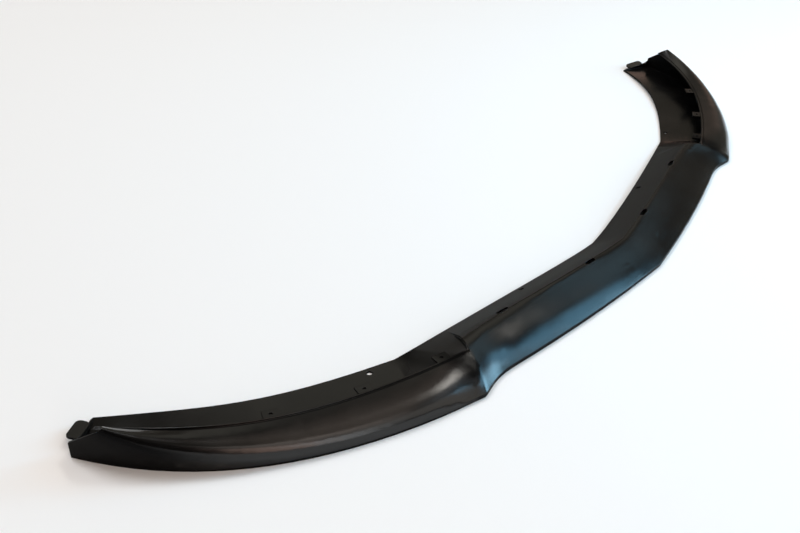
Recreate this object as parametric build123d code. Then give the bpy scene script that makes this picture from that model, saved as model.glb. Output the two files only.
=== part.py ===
from build123d import *
from math import atan2, cos, degrees, pi, radians, sin, tan
import os

# Front splitter lip: one thin-walled moulding, mirrored about the plane x = 0.
# Sizes are millimetres and angles degrees. The lay-out frame has x out from the centre line,
# y rearward from the middle of the inner edge and z up from the ground.

# Walls and the blunt leading edge
wall = 3.0
edge_height = 6.0
edge_foot = 5.0
bend_pull = 0.75
curve_reach = 0.38
front_lift = 2.0

# Inner edge, which meets the car: a rounded vee across the middle, then a curve along the wing
inner_power = 1.36
inner_arch = 7.0
seam_x = 393.0
kink_x = 494.0
kink_y = 83.0
inner_start_angle = 23.9
inner_end_angle = 53.6

# Leading edge: a peak in the middle, a slow arc, and a forward step where the wing starts
peak_reach = 131.0
peak_angle = 4.9
front_radius = 3260.0
step_x = 485.0
step_forward = 22.0
step_run = 75.0
step_power = 1.6

# Wing in plan
half_width = 920.0
end_outer_y = 304.0
end_length = 77.5
end_angle = 59.8
outer_start_angle = 18.9
outer_end_angle = 71.3

# Folded middle: blade, rounded ridge and flange
flange_slope = 28.0
blade_run = 60.0
blade_rise = 31.0
blade_bend_run = 20.0
blade_bend_rise = 24.0
shoulder_run = 20.0
shoulder_run_step = 51.0
step_blend = 4

# Wing face and its rim
face_run = 61.0
face_run_end = 3.0
rim_height_step = 40.5
rim_height_mid = 38.5
rim_height_rear = 61.0
end_height = 25.0
end_slope = 35.0
brow_run = 22.0
brow_drop = 10.0
brow_drop_mid = 5.0
brow_rise = 50.0
brow_end = 0.15
brow_power = 4
brow_lean = 16.0
lean_power = 3
rim_groove = 4.0
rim_groove_depth = 1.6
rim_lip = 1.8
rim_lip_height = 3.0

# Pocket between the wing's floor and its face
ramp_seat = 0.6
ramp_crown = 27.0
floor_arch = 6.0
floor_arch_power = 2.6
riser_face = 0.9
riser_foot = 0.2
riser_end = 0.7

# Tabs along the rim, and the lug on the wing's end wall
tab_places = (0.07, 0.285, 0.53)
tab_width = 24.0
tab_reach = 18.0
tab_hole = 5.5
tab_hole_place = 9.0
tab_nudge = 0.01
lug_length = 42.0
lug_reach = 16.0
lug_root = 4.0
lug_corner = 8.0
lug_lean = 8.0
end_wall_inner = 6.0
end_wall_outer = 14.0
end_wall_taper = 8.0

# Fixing holes and clip slots, placed from the centre line
flange_hole_x = 229.0
wing_hole_x = 543.0
wing_hole_y = 93.0
fixing_hole = 9.0
hole_margin = 12.0
slot_places = (108.0, 330.0)
slot_line_x = 430.0
slot_length = 26.0
slot_width = 8.0
slot_from_fold = 7.0

# Section planes along each half, and strips across each bend of the middle
stations = 12
ramp_stations = 2
ramp_end = ramp_stations / stations
strip_count = 4


def blend(first, last, share):
    return first + (last - first) * share


def ease(share):
    share = min(max(share, 0.0), 1.0)
    return share * share * (3 - 2 * share)


def along(angle):
    return Vector(cos(radians(angle)), sin(radians(angle)))


def below(angle):
    return Vector(sin(radians(angle)), -cos(radians(angle)))


def slope(start, end):
    return degrees(atan2(end.Y - start.Y, end.X - start.X))


def stroke(start, start_angle, end, end_angle):
    """Corners of a cubic that leaves and arrives at the given angles."""
    reach = (end - start).length * curve_reach
    return [start, start + along(start_angle) * reach, end - along(end_angle) * reach, end]


def sunk(curve, start_angle, end_angle):
    """The same cubic, one wall below."""
    start = below(start_angle) * wall
    end = below(end_angle) * wall
    return [curve[0] + start, curve[1] + start, curve[2] + end, curve[3] + end]


def between(curve, first, second, third):
    """Corner of the part of a cubic that runs between two shares of it."""
    row = [blend(curve[i], curve[i + 1], first) for i in range(3)]
    row = [blend(row[i], row[i + 1], second) for i in range(2)]
    return blend(row[0], row[1], third)


def on_curve(curve, share):
    return between(curve, share, share, share)


def strips(curve):
    """The same cubic as a row of shorter ones, each nearly flat."""
    row = []
    for i in range(strip_count):
        a = i / strip_count
        b = (i + 1) / strip_count
        row.append([on_curve(curve, a), between(curve, a, a, b), between(curve, a, b, b), on_curve(curve, b)])
    return row


def inner_y(x):
    return kink_y * (x / kink_x) ** inner_power


def inner_z(x):
    return inner_arch * sin(pi * x / kink_x)


def front_y(x):
    step = step_forward * max(0.0, (x - step_x + step_run) / step_run) ** step_power
    return x * tan(radians(peak_angle)) + x * x / (2 * front_radius) - peak_reach - step


step_corner = Vector(step_x, front_y(step_x))
kink = Vector(kink_x, kink_y)
end_outer = Vector(half_width, end_outer_y)
end_inner = end_outer - below(end_angle) * end_length
outer_curve = stroke(step_corner, outer_start_angle, end_outer, outer_end_angle)
inner_curve = stroke(kink, inner_start_angle, end_inner, inner_end_angle)


class Station:
    """Upright section plane, with points given as run in from the outer edge and height."""

    def __init__(self, outer, inner):
        self.outer = outer
        self.span = (inner - outer).length
        self.way = (inner - outer) * (1 / self.span)

    def at(self, point):
        spot = self.outer + self.way * point.X
        return Vector(spot.X, spot.Y, point.Y)

    def edge(self, points):
        points = [self.at(p) for p in points]
        return Line(*points) if len(points) == 2 else Bezier(*points)

    def wire(self, strokes):
        return Wire([self.edge(s) for s in strokes])

    def slab(self, strokes, thickness, both=False):
        """Flat plate in this plane, thick towards the middle of the car."""
        inward = Vector(-self.way.Y, self.way.X, 0)
        return extrude(Face(self.wire(strokes)), thickness, dir=inward, both=both)


class Skin:
    """Face from the leading edge over its bend up to the rim, in one station."""

    def __init__(self, lift, bend, rim):
        self.foot = Vector(0, lift)
        self.edge = Vector(0, lift + edge_height)
        self.rim = rim
        self.low = slope(self.edge, bend)
        self.high = slope(bend, rim)
        pull = bend * bend_pull
        rest = 1 - bend_pull
        self.face = [self.edge, self.edge * rest + pull, rim * rest + pull, rim]
        self.back = sunk(self.face, self.low, self.high)
        self.back[0] = Vector(edge_foot, lift)

    def nose(self):
        return [[self.back[0], self.foot], [self.foot, self.edge]]


def middle_station(share):
    outer = Vector(step_x * share, front_y(step_x * share))
    return Station(outer, Vector(seam_x * share, inner_y(seam_x * share)))


def middle_skin(share):
    run = blend(blade_run, face_run, share ** step_blend)
    rim = Vector(run, blend(blade_rise, rim_height_step, share))
    bend_drop = blend(blade_rise - blade_bend_rise, brow_drop, share)
    bend = Vector(blend(blade_bend_run, brow_run, share), rim.Y - bend_drop)
    return Skin(front_lift, bend, rim)


def middle_top(share):
    """Fold over the ridge, from the blade to the flange, and the flange's inner edge."""
    skin = middle_skin(share)
    span = middle_station(share).span
    run = skin.rim.X + blend(shoulder_run, shoulder_run_step, share ** step_blend)
    lip = Vector(span, inner_z(seam_x * share) + wall / cos(radians(flange_slope)))
    fold = lip + along(-flange_slope) * ((run - span) / cos(radians(flange_slope)))
    return stroke(skin.rim, skin.high, fold, -flange_slope), lip


def middle_section(share):
    skin = middle_skin(share)
    shoulder, lip = middle_top(share)
    under = sunk(shoulder, skin.high, -flange_slope)
    base = lip - Vector(0, wall / cos(radians(flange_slope)))
    flange = [[shoulder[3], lip], [lip, base], [base, under[3]]]
    strokes = skin.nose() + strips(skin.face) + strips(shoulder) + flange
    return middle_station(share).wire(strokes + strips(under[::-1]) + strips(skin.back[::-1]))


def wing_station(share):
    if share < ramp_end:
        x = blend(seam_x, kink_x, share / ramp_end)
        inner = Vector(x, inner_y(x))
    else:
        inner = on_curve(inner_curve, (share - ramp_end) / (1 - ramp_end))
    return Station(on_curve(outer_curve, share), inner)


def rim_rise(share):
    rise = rim_height_step * (1 - share) * (1 - 2 * share)
    rise += rim_height_mid * 4 * share * (1 - share)
    return rise + rim_height_rear * share * (2 * share - 1)


def wing_skin(share):
    """The bend between wall and shelf squares up behind the step, then climbs to the rear."""
    front_share = 1 - ease(share / brow_end)
    rim = Vector(blend(face_run, face_run_end, share ** 2), rim_rise(share))
    climb = brow_rise * share ** brow_power - blend(brow_drop_mid, brow_drop, front_share)
    lean = brow_lean * sin(pi * share ** lean_power)
    bend = Vector(brow_run * front_share - lean, rim.Y + climb)
    return Skin(front_lift * (1 - ease(share / ramp_end)), bend, rim)


def wing_section(share):
    """Face, then a groove along its inner border and a thin lip that stands up behind it."""
    skin = wing_skin(share)
    inside = skin.back[3]
    inward = along(skin.high)
    down = below(skin.high)
    groove = skin.rim + down * rim_groove_depth
    lip_base = groove + inward * rim_groove
    lip_top = lip_base - down * rim_lip_height
    lip_back = lip_top + inward * rim_lip
    lip_under = inside + inward * (rim_groove + rim_lip)
    corners = [skin.rim, groove, lip_base, lip_top, lip_back, lip_under, inside]
    lip = [[corners[i], corners[i + 1]] for i in range(len(corners) - 1)]
    return wing_station(share).wire(skin.nose() + [skin.face] + lip + [skin.back[::-1]])


def ramp_top(share):
    """Top of the ramp that falls from the ridge to the floor of the wing."""
    fall = 1 - ease(share / ramp_end)
    x = blend(seam_x, kink_x, share / ramp_end)
    lip = Vector(wing_station(share).span, inner_z(x) + wall / cos(radians(flange_slope * fall)))
    seat = on_curve(wing_skin(share).back, ramp_seat * fall)
    seat = Vector(seat.X - wall / 2, blend(wall, seat.Y, fall))
    return stroke(seat, ramp_crown * fall, lip, -flange_slope * fall)


def ramp_section(share):
    top = ramp_top(share)
    base = [p - Vector(0, wall) for p in top]
    strokes = [top, [top[3], base[3]], base[::-1], [base[0], top[0]]]
    return wing_station(share).wire(strokes)


def floor_section(share):
    """Floor of the wing, which arches a little along its inner edge."""
    station = wing_station(share)
    place = (share - ramp_end) / (1 - ramp_end)
    arch = floor_arch * sin(pi * place ** floor_arch_power)
    base = [Vector(edge_foot - wall / 2, 0), Vector(station.span, arch)]
    top = [p + Vector(0, wall) for p in base]
    return station.wire([base, [base[1], top[1]], top[::-1], [top[0], base[0]]])


def loft(section, first=0.0, last=1.0):
    """Solid through evenly spaced sections."""
    count = round(stations * (last - first))
    return Solid.make_loft([section(blend(first, last, i / count)) for i in range(count + 1)])


def wing_shell():
    """Face of the wing, cut off at a slant behind its highest point."""
    station = wing_station(1)
    rearward = Vector(station.way.Y, -station.way.X, 0)
    upright = Vector(0, 0, cos(radians(end_slope))) + rearward * sin(radians(end_slope))
    cut = Plane(station.at(Vector(0, end_height)), x_dir=station.way, z_dir=upright)
    size = 4 * end_length
    return loft(wing_section) - extrude(cut * Rectangle(size, size), size)


def riser():
    """Upright front end of the pocket, between the ramp and the shoulder of the fold."""
    shoulder = middle_top(1)[0]
    top = [on_curve(wing_skin(0).face, riser_face)]
    top += [on_curve(shoulder, i / 3) for i in range(4)]
    base = [on_curve(ramp_top(0), blend(riser_foot, riser_end, i / 3)) for i in range(4)]
    corners = [p - Vector(0, wall / 2) for p in top + base[::-1]]
    strokes = [[corners[i - 1], corners[i]] for i in range(len(corners))]
    return wing_station(0).slab(strokes, wall / 2, both=True)


def end_wall():
    """Wall across the wing's end, rising from the inner corner to the face."""
    station = wing_station(1)
    corners = [Vector(edge_foot / 2, 0), Vector(0, end_height - wall)]
    corners += [Vector(end_wall_outer, end_wall_outer)]
    corners += [Vector(station.span - end_wall_taper, end_wall_inner)]
    corners += [Vector(station.span, wall), Vector(station.span, 0)]
    return station.slab([[corners[i - 1], corners[i]] for i in range(6)], wall)


def lug():
    """Rounded tongue that leans out from the top of the end wall."""
    station = wing_station(1)
    inner = Vector(station.span - end_wall_taper, end_wall_inner)
    outer = Vector(end_wall_outer, end_wall_outer)
    base = station.at((inner + outer) * 0.5)
    crest = (station.at(outer) - station.at(inner)).normalized()
    outward = Vector(station.way.Y, -station.way.X, 0)
    lean = outward * cos(radians(lug_lean)) + Vector(0, 0, sin(radians(lug_lean)))
    plane = Plane(base, x_dir=crest, z_dir=crest.cross(lean))
    tongue = RectangleRounded(lug_length, lug_reach + lug_root, lug_corner)
    tongue = Pos(0, (lug_reach - lug_root) / 2) * tongue
    return extrude(plane * tongue, wall / 2, both=True)


def rim_spot(share):
    """Middle of the rim lip's thickness, on the inside of the wall."""
    skin = wing_skin(share)
    return wing_station(share).at(skin.back[3] + along(skin.high) * (rim_groove + rim_lip / 2))


def rim_tab(share):
    """Drilled ear on the rim's lip, level and square to the rim."""
    run = rim_spot(share + tab_nudge) - rim_spot(share - tab_nudge)
    plane = Plane(rim_spot(share), x_dir=(-run.Y, run.X, 0), z_dir=(0, 0, 1))
    ear = Pos(tab_reach / 2, 0) * Rectangle(tab_reach, tab_width)
    ear -= Pos(tab_hole_place, 0) * Circle(tab_hole / 2)
    return extrude(plane * ear, wall)


def drill(x, y, outline, turn=0.0):
    """Cutter straight up through the part."""
    return extrude(Pos(x, y) * Rot(0, 0, turn) * outline, rim_height_rear)


def cutters():
    """Fixing holes along the inner edge and clip slots behind the ridge."""
    hole = Circle(fixing_hole / 2)
    slot = SlotOverall(slot_length, slot_width)
    cuts = [drill(flange_hole_x, inner_y(flange_hole_x) - hole_margin, hole)]
    cuts.append(drill(wing_hole_x, wing_hole_y, hole))
    for x in slot_places:
        share = x / slot_line_x
        station = middle_station(share)
        shoulder = middle_top(share)[0]
        spot = station.at(Vector(shoulder[3].X - slot_from_fold, 0))
        turn = slope(Vector(0, inner_y(0)), Vector(x, inner_y(x)))
        cuts.append(drill(spot.X, spot.Y, slot, turn))
    return cuts


def half_lip():
    pieces = [wing_shell(), loft(ramp_section, 0, ramp_end), loft(floor_section, ramp_end)]
    pieces += [end_wall(), riser(), lug()]
    pieces += [rim_tab(share) for share in tab_places]
    half = loft(middle_section)
    for piece in pieces:
        half = half + piece
    return half - cutters()


# The origin moves to the middle of the bounding box, on the ground
half = half_lip()
lip = half + mirror(half, Plane.YZ)
box = lip.bounding_box()
lip = Pos(0, -box.center().Y, -box.min.Z) * lip

os.makedirs("parts", exist_ok=True)
export_step(lip, "parts/splitter_lip.step")
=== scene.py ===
from collections import namedtuple
from math import cos, pi, radians, sin, tan
import bmesh
import bpy
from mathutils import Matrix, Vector


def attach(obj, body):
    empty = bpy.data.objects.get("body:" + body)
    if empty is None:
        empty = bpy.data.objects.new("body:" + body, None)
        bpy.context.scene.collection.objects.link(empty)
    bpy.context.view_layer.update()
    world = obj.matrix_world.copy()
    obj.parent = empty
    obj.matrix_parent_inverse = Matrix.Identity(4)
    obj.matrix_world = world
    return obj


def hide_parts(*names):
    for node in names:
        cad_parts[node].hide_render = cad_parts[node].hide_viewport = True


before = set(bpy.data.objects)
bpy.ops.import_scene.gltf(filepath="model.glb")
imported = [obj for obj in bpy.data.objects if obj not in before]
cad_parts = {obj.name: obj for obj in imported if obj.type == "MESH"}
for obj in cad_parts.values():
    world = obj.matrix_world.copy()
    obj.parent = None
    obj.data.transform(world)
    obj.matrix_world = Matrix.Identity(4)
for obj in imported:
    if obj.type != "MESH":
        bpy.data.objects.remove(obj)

# Front splitter lip in satin black plastic on a pale studio floor. Metres and degrees, in the part's frame.

# Colours of the plastic, the last a painted light for its level matt faces
PLASTIC_DARK = (0.0022, 0.0022, 0.0023, 1)
PLASTIC_DUSTY = (0.0060, 0.0056, 0.0052, 1)
# painted light: a paler tone for the level faces of the matt side
PLASTIC_LIT_LEVEL = (0.0190, 0.0184, 0.0172, 1)

# Roughness and specular level of its finishes, with the wing faces' level raised as painted sheen and a low
# level that paints shade
SATIN_ROUGHNESS = (0.16, 0.22)
MATT_ROUGHNESS = 0.62
SATIN_SPECULAR = 0.30
# painted sheen: a higher level on the faces of the wings
WING_SHEEN_SPECULAR = 0.46
MATT_SPECULAR = 0.10
# painted shade: a low level for the side walls, the front and foot edges and a patch beside each step
PAINTED_SHADE_SPECULAR = 0.04

# Spans of the surface's normal, along one axis, over which a finish, a painted light or a painted shade
# comes or goes
BUMPER_SIDE_Y = (0.10, 0.40)
# painted light on level matt faces comes in over the next span
LEVEL_Z = (0.35, 0.80)
# painted shade on side walls, and on upright edges in front, over the next three spans
SIDE_WALL_X = (0.62, 0.85)
AHEAD_Y = (-0.97, -0.90)
UPRIGHT_Z = (0.15, 0.35)
# painted shade patch beside each step, on faces looking up
SHADE_PATCH_TOP_Z = (0.80, 0.88)
WING_FLOOR_Z = (0.95, 0.985)

# Spans of place over which a painted shade or sheen comes or goes: the height, then distances from the
# middle of the lip
# painted shade along the foot, up to this height
FOOT_HEIGHT = (0.0025, 0.0050)
# painted shade patch beside each step, over these distances from the middle
SHADE_PATCH_START = (0.452, 0.462)
SHADE_PATCH_END = (0.480, 0.512)
# painted sheen on the wing faces, coming in over this distance
WING_START = (0.46, 0.53)

# Scale and detail of each noise, with the span of it that is used or its depth
DUST_NOISE = (9.0, 4.0)
DUST_SPAN = (0.42, 0.75)
POLISH_NOISE = (14.0, 3.0)
POLISH_SPAN = (0.3, 0.7)
RIPPLE_NOISE = (22.0, 1.0)
RIPPLE_DEPTH = 0.00025
GRAIN_NOISE = (1500.0, 2.0)
GRAIN_DEPTH = 0.00004

# Edges and creases of the skin
EDGE_ROUND = 0.0015
EDGE_SAMPLES = 6
CREASE_ANGLE = 26.0
WELD_GAP = 0.00002

# Floor, softboxes and walls
FLOOR_SIZE = 30.0
FLOOR_COLOUR = (0.93, 0.93, 0.93, 1)
FLOOR_ROUGHNESS = 1.0
FLOOR_SPECULAR = 0.0
LAMP_DISTANCE = 8.0
WINDOW_DISTANCE = 2.6
WINDOW_AIM = (-0.35, -0.19, 0.02)
ROOM_DARK = (0.012, 0.011, 0.010, 1)
ROOM_LIGHT = (0.16, 0.14, 0.11, 1)
ROOM_LIGHT_SIDE = (0.87, 0.2, 0.45)
ROOM_FADE = (-0.35, 0.75)

# Camera at the photograph's place
CAMERA_SPOT = (-1.4122, -0.71817, 0.8918)
CAMERA_DOWN = 32.102
CAMERA_TURN = -53.359
CAMERA_LENS = 42.75
SENSOR = 36

Axes = namedtuple("Axes", "x y z")

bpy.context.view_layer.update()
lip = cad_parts["splitter_lip"]
scene = bpy.context.scene
scene.view_settings.view_transform = "Standard"


class Shader:
    """Nodes of a material or of the world, and short ways to add and join them."""

    def __init__(self, owner):
        owner.use_nodes = True
        self.tree = owner.node_tree

    def inputs(self, name):
        return self.tree.nodes[name].inputs

    def add(self, kind, **settings):
        node = self.tree.nodes.new("ShaderNode" + kind)
        for key, value in settings.items():
            setattr(node, key, value)
        return node

    def join(self, source, target):
        self.tree.links.new(source, target)

    def axes(self, vector):
        node = self.add("SeparateXYZ")
        self.join(vector, node.inputs["Vector"])
        return Axes(*node.outputs)

    def noise(self, scale, detail):
        place = self.add("TexCoord")
        node = self.add("TexNoise")
        node.inputs["Scale"].default_value = scale
        node.inputs["Detail"].default_value = detail
        self.join(place.outputs["Object"], node.inputs["Vector"])
        return node.outputs["Fac"]

    def rise(self, source, span, ends=(0.0, 1.0)):
        """Smooth step from one end to the other while the source goes over its span."""
        node = self.add("MapRange", interpolation_type="SMOOTHSTEP")
        for socket, value in zip(("From Min", "From Max", "To Min", "To Max"), (*span, *ends)):
            node.inputs[socket].default_value = value
        self.join(source, node.inputs["Value"])
        return node.outputs["Result"]

    def fall(self, source, span):
        return self.rise(source, span, (1.0, 0.0))

    def mix(self, kind, share, first, second):
        """Blend of two colours or two numbers, each given as a value or as a socket."""
        node = self.add("Mix", data_type=kind)
        sockets = [s for s in node.inputs if s.enabled]
        self.join(share, sockets[0])
        for socket, value in zip(sockets[1:], (first, second)):
            if isinstance(value, bpy.types.NodeSocket):
                self.join(value, socket)
            else:
                socket.default_value = value
        return [s for s in node.outputs if s.enabled][0]

    def math(self, operation, *values):
        node = self.add("Math", operation=operation)
        for socket, value in zip(node.inputs, values):
            self.join(value, socket)
        return node.outputs["Value"]

    def bump(self, height, depth, normal):
        node = self.add("Bump")
        node.inputs["Distance"].default_value = depth
        self.join(height, node.inputs["Height"])
        self.join(normal, node.inputs["Normal"])
        return node.outputs["Normal"]


def plastic_colour(shader, normal, matt):
    """Black with some dust, and paler where the matt side lies level, as painted light on faces that look
    up.
    """
    dust = shader.rise(shader.noise(*DUST_NOISE), DUST_SPAN)
    colour = shader.mix("RGBA", dust, PLASTIC_DARK, PLASTIC_DUSTY)
    # painted light: paler where the matt side faces up
    lit_level = shader.math("MULTIPLY", matt, shader.rise(normal.z, LEVEL_Z))
    return shader.mix("RGBA", lit_level, colour, PLASTIC_LIT_LEVEL)


def plastic_roughness(shader, matt):
    """Uneven polish, and the matt finish of the side that meets the bumper."""
    polish = shader.rise(shader.noise(*POLISH_NOISE), POLISH_SPAN, SATIN_ROUGHNESS)
    return shader.mix("FLOAT", matt, polish, MATT_ROUGHNESS)


def painted_shade_share(shader, normal, height, along):
    """Painted shade where the specular level is turned down: the side walls, the upright edge in front and
    at the foot, and a patch beside each step that hides a highlight.
    """
    side_wall = shader.rise(shader.math("ABSOLUTE", normal.x), SIDE_WALL_X)
    front_or_foot = shader.math("MAXIMUM", shader.fall(normal.y, AHEAD_Y), shader.fall(height, FOOT_HEIGHT))
    edge = shader.math("MULTIPLY", shader.fall(normal.z, UPRIGHT_Z), front_or_foot)
    # painted shade patch beside each step, turning a highlight down
    patch = shader.math("MULTIPLY", shader.rise(along, SHADE_PATCH_START), shader.fall(along, SHADE_PATCH_END))
    step_shade = shader.math("MULTIPLY", patch, shader.rise(normal.z, SHADE_PATCH_TOP_Z))
    return shader.math("MAXIMUM", shader.math("MAXIMUM", side_wall, edge), step_shade)


def plastic_gloss(shader, normal, matt):
    """Specular level, raised on the faces of the wings as a painted sheen, and lowest where shade is
    painted.
    """
    place = shader.axes(shader.add("TexCoord").outputs["Object"])
    along = shader.math("ABSOLUTE", place.x)
    wing = shader.rise(along, WING_START)
    # painted sheen on the wing faces
    wing_face = shader.math("MULTIPLY", wing, shader.fall(normal.z, WING_FLOOR_Z))
    gloss = shader.mix("FLOAT", wing_face, SATIN_SPECULAR, WING_SHEEN_SPECULAR)
    gloss = shader.mix("FLOAT", matt, gloss, MATT_SPECULAR)
    shade_mask = painted_shade_share(shader, normal, place.z, along)
    return shader.mix("FLOAT", shade_mask, gloss, PAINTED_SHADE_SPECULAR)


def plastic_relief(shader):
    """Rounded edges, a slight ripple and a fine grain."""
    edges = shader.add("Bevel", samples=EDGE_SAMPLES)
    edges.inputs["Radius"].default_value = EDGE_ROUND
    ripple = shader.bump(shader.noise(*RIPPLE_NOISE), RIPPLE_DEPTH, edges.outputs["Normal"])
    return shader.bump(shader.noise(*GRAIN_NOISE), GRAIN_DEPTH, ripple)


def black_plastic():
    material = bpy.data.materials.new("satin_black_plastic")
    shader = Shader(material)
    surface = shader.inputs("Principled BSDF")
    normal = shader.axes(shader.add("NewGeometry").outputs["Normal"])
    matt = shader.rise(normal.y, BUMPER_SIDE_Y)
    shader.join(plastic_colour(shader, normal, matt), surface["Base Color"])
    shader.join(plastic_roughness(shader, matt), surface["Roughness"])
    shader.join(plastic_gloss(shader, normal, matt), surface["Specular IOR Level"])
    shader.join(plastic_relief(shader), surface["Normal"])
    return material


def floor_paint():
    material = bpy.data.materials.new("floor_white")
    surface = Shader(material).inputs("Principled BSDF")
    surface["Base Color"].default_value = FLOOR_COLOUR
    surface["Roughness"].default_value = FLOOR_ROUGHNESS
    surface["Specular IOR Level"].default_value = FLOOR_SPECULAR
    return material


def smooth_skin(node):
    """The part's own mesh in one skin, smooth over its bends and sharp at its creases."""
    mesh = bpy.data.meshes.new("lip_skin")
    skin = bmesh.new()
    skin.from_mesh(node.data)
    bmesh.ops.remove_doubles(skin, verts=skin.verts, dist=WELD_GAP)
    skin.to_mesh(mesh)
    skin.free()
    for name in [a.name for a in mesh.attributes if a.name.startswith("custom_normal")]:
        mesh.attributes.remove(mesh.attributes[name])
    mesh.polygons.foreach_set("use_smooth", [True] * len(mesh.polygons))
    mesh.set_sharp_from_angle(angle=radians(CREASE_ANGLE))
    mesh.materials.clear()
    mesh.materials.append(black_plastic())
    piece = bpy.data.objects.new("lip_skin", mesh)
    piece.matrix_world = node.matrix_world
    scene.collection.objects.link(piece)
    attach(piece, "root")
    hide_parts("splitter_lip")


def lay_floor():
    bpy.ops.mesh.primitive_plane_add(size=FLOOR_SIZE)
    floor = bpy.context.object
    floor.name = "floor"
    floor.data.materials.append(floor_paint())


def direction(turn, height):
    """Unit vector at a compass turn, from +Y towards +X, and at an angle above the floor."""
    turn = radians(turn)
    height = radians(height)
    return Vector((sin(turn) * cos(height), cos(turn) * cos(height), sin(height)))


def length_seen(angle, distance):
    """Length that fills an angle at a distance."""
    return 2 * distance * tan(radians(angle / 2))


def panel(name, turn, height, wide, tall, glow, colour, aim=(0, 0, 0), distance=LAMP_DISTANCE):
    """Softbox with its direction and its size as angles seen from its aim, and its glow as radiance."""
    way = direction(turn, height)
    lamp = bpy.data.lights.new(name, "AREA")
    lamp.shape = "RECTANGLE"
    lamp.size = length_seen(wide, distance)
    lamp.size_y = length_seen(tall, distance)
    lamp.energy = glow * pi * lamp.size * lamp.size_y
    lamp.color = colour
    holder = bpy.data.objects.new(name, lamp)
    holder.location = Vector(aim) + way * distance
    holder.rotation_euler = way.to_track_quat("Z", "Y").to_euler()
    scene.collection.objects.link(holder)


def studio():
    """Two blue windows close by, and a ring of softboxes further away."""
    near = {"aim": WINDOW_AIM, "distance": WINDOW_DISTANCE}
    panel("window", turn=128, height=18, wide=14, tall=20, glow=17.0, colour=(0.38, 0.74, 1.0), **near)
    panel("window_top", turn=130, height=36, wide=26, tall=13, glow=6.2, colour=(0.27, 0.68, 1.0), **near)
    panel("window_side", turn=101, height=41, wide=28, tall=10, glow=1.2, colour=(0.42, 0.78, 1.0))
    panel("strip", turn=103, height=58, wide=16, tall=6.5, glow=14.0, colour=(1.0, 0.97, 0.90))
    panel("strip_end", turn=137, height=55, wide=26, tall=7, glow=1.2, colour=(0.90, 0.96, 1.0))
    panel("front", turn=168, height=27, wide=42, tall=40, glow=1.0, colour=(1.0, 0.94, 0.86))
    panel("front_left", turn=201, height=20, wide=14, tall=40, glow=3.0, colour=(0.94, 0.98, 1.0))
    panel("left", turn=215, height=24, wide=16, tall=44, glow=2.6, colour=(1.0, 0.70, 0.58))
    panel("left_top", turn=199, height=57, wide=26, tall=22, glow=1.5, colour=(1.0, 0.88, 0.80))
    panel("overhead", turn=128, height=76, wide=60, tall=18, glow=0.8, colour=(1.0, 0.80, 0.68))
    panel("side", turn=54, height=41, wide=32, tall=22, glow=0.50, colour=(1.0, 0.97, 0.84))
    panel("side_low", turn=75, height=9, wide=18, tall=10, glow=0.44, colour=(1.0, 0.60, 0.48))
    panel("fill", turn=-6, height=61, wide=22, tall=26, glow=7.4, colour=(0.97, 0.98, 1.0))


def room():
    """Dim walls, lighter towards +X and above."""
    world = bpy.data.worlds.new("room")
    scene.world = world
    shader = Shader(world)
    side = shader.add("VectorMath", operation="DOT_PRODUCT")
    shader.join(shader.add("TexCoord").outputs["Generated"], side.inputs[0])
    side.inputs[1].default_value = ROOM_LIGHT_SIDE
    fade = shader.rise(side.outputs["Value"], ROOM_FADE)
    tone = shader.mix("RGBA", fade, ROOM_DARK, ROOM_LIGHT)
    shader.join(tone, shader.inputs("Background")["Color"])


def photo_camera():
    camera = bpy.data.cameras.new("photo_camera")
    camera.sensor_width = SENSOR
    camera.lens = CAMERA_LENS
    camera.clip_end = 2 * FLOOR_SIZE
    holder = bpy.data.objects.new("photo_camera", camera)
    holder.location = CAMERA_SPOT
    holder.rotation_euler = (radians(90 - CAMERA_DOWN), 0, radians(CAMERA_TURN))
    scene.collection.objects.link(holder)
    scene.camera = holder


smooth_skin(lip)
lay_floor()
studio()
room()
photo_camera()
